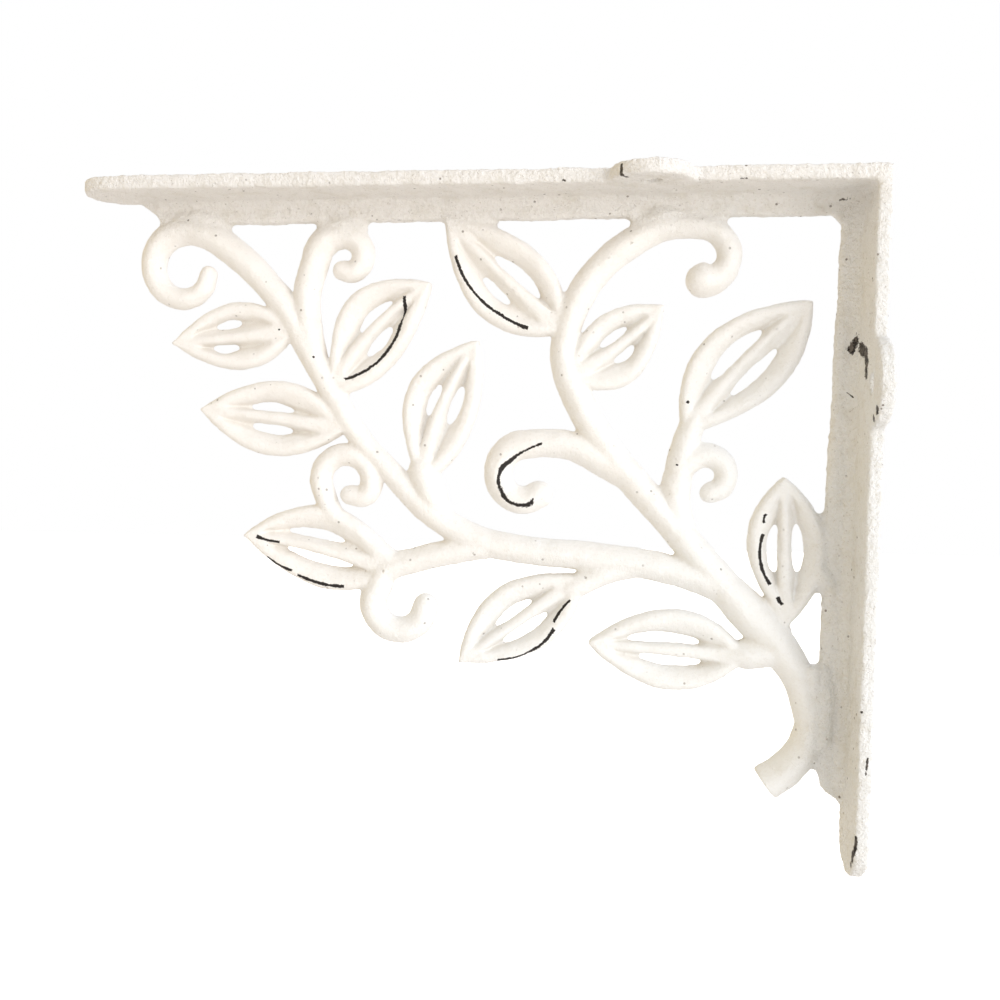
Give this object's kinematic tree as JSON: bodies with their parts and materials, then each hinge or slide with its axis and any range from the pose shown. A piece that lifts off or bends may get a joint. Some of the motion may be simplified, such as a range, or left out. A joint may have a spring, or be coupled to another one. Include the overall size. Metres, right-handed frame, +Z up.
{
  "type": "ornamental shelf bracket",
  "caption": "Cast iron shelf bracket with an L-shaped rail and an openwork vine of scrolls and slotted leaves in its corner, in distressed ivory paint.",
  "frame": {"origin": "centre of the wall face: on the plane that lies against the wall, at half its height and half the rails' depth", "axes": "+X out of the back of the wall face, into the wall; +Z up, towards the shelf; the shelf arm runs along -X; +Y towards the flat back of the openwork"},
  "size_m": [0.239, 0.037, 0.205],
  "materials": {
    "ivory_paint": "satin ivory paint over rough sand-cast iron, chipped to black in places"
  },
  "bodies": {
    "root": {"bracket": "ivory_paint"}
  },
  "joints": []
}
